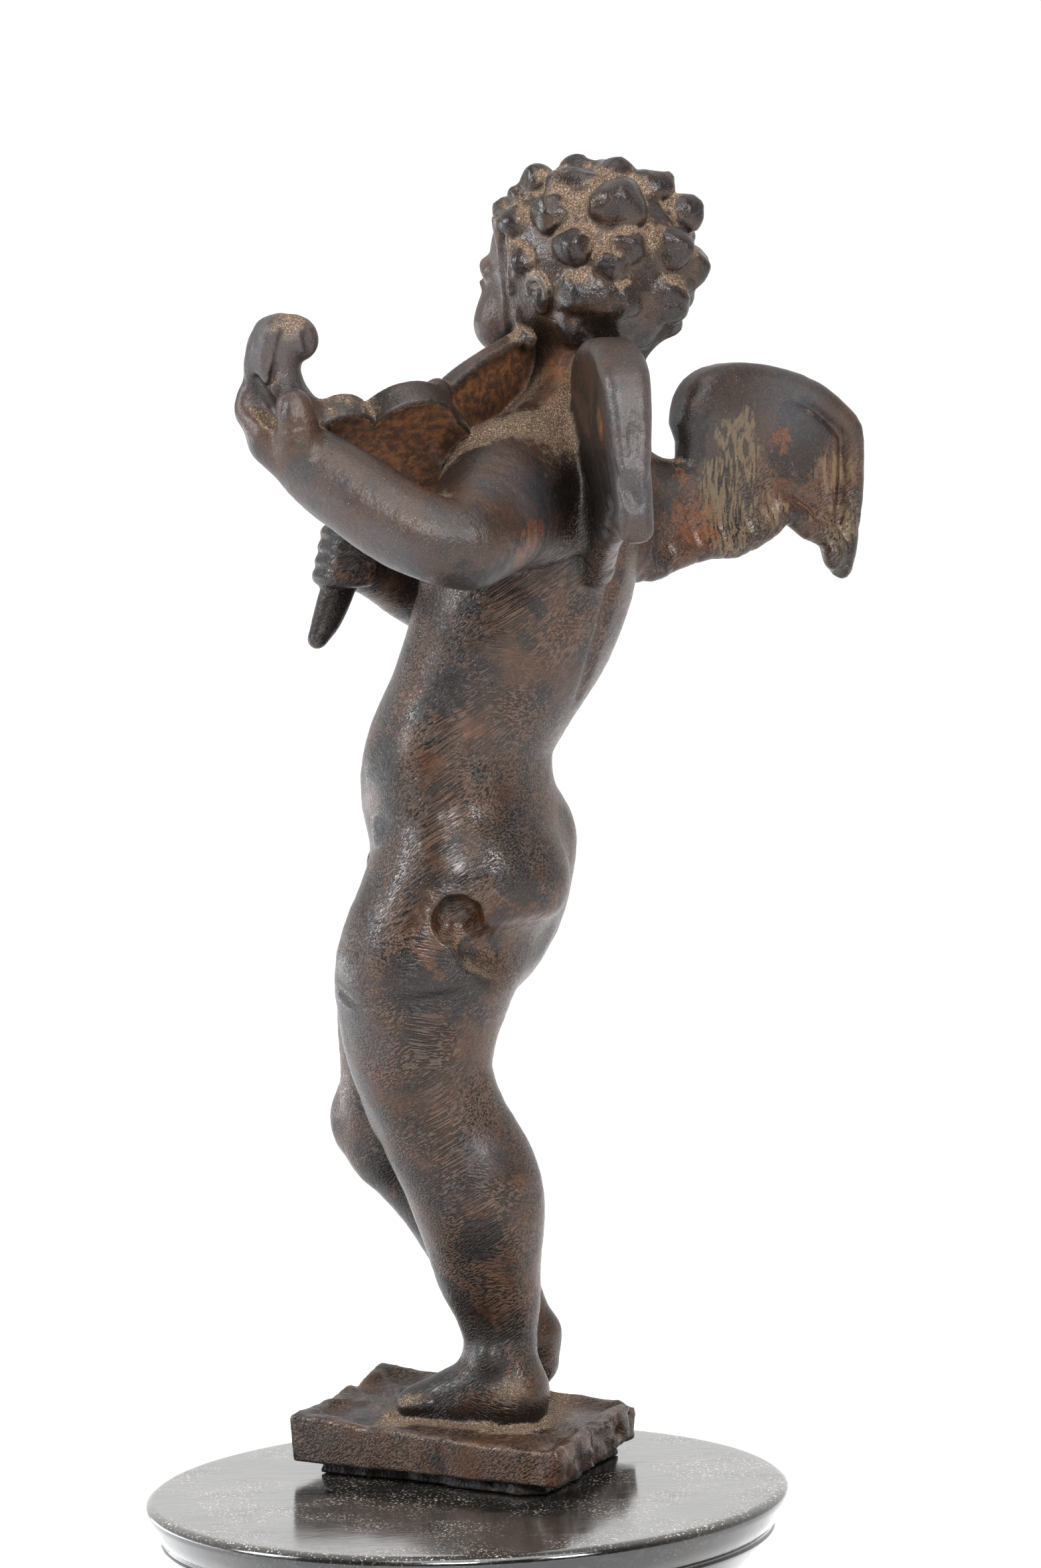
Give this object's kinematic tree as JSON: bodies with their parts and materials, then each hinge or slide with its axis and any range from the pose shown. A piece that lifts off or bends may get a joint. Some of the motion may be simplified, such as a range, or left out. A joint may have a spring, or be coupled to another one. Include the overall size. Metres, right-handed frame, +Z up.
{
  "type": "bronze putto statuette on a turned socle",
  "caption": "Winged bronze putto playing a lobed bowed instrument, on its own cast plinth set on a round turned black socle.",
  "frame": {"origin": "centre of the socle's underside", "axes": "+Z up; -Y the way the putto's hips face; +X the putto's own left, the side of the instrument"},
  "size_m": [0.1215, 0.097, 0.2286],
  "materials": {
    "bronze": "cast bronze with a worn dark brown patina, file strokes and dust in the hollows",
    "wax": "dark brown wax, dull and dusty",
    "black_wood": "turned and blacked, half polished, with dust and grey streaks"
  },
  "bodies": {
    "root": {"putto_bronze": "bronze", "setting_wax": "wax", "turned_socle": "black_wood"}
  },
  "joints": []
}
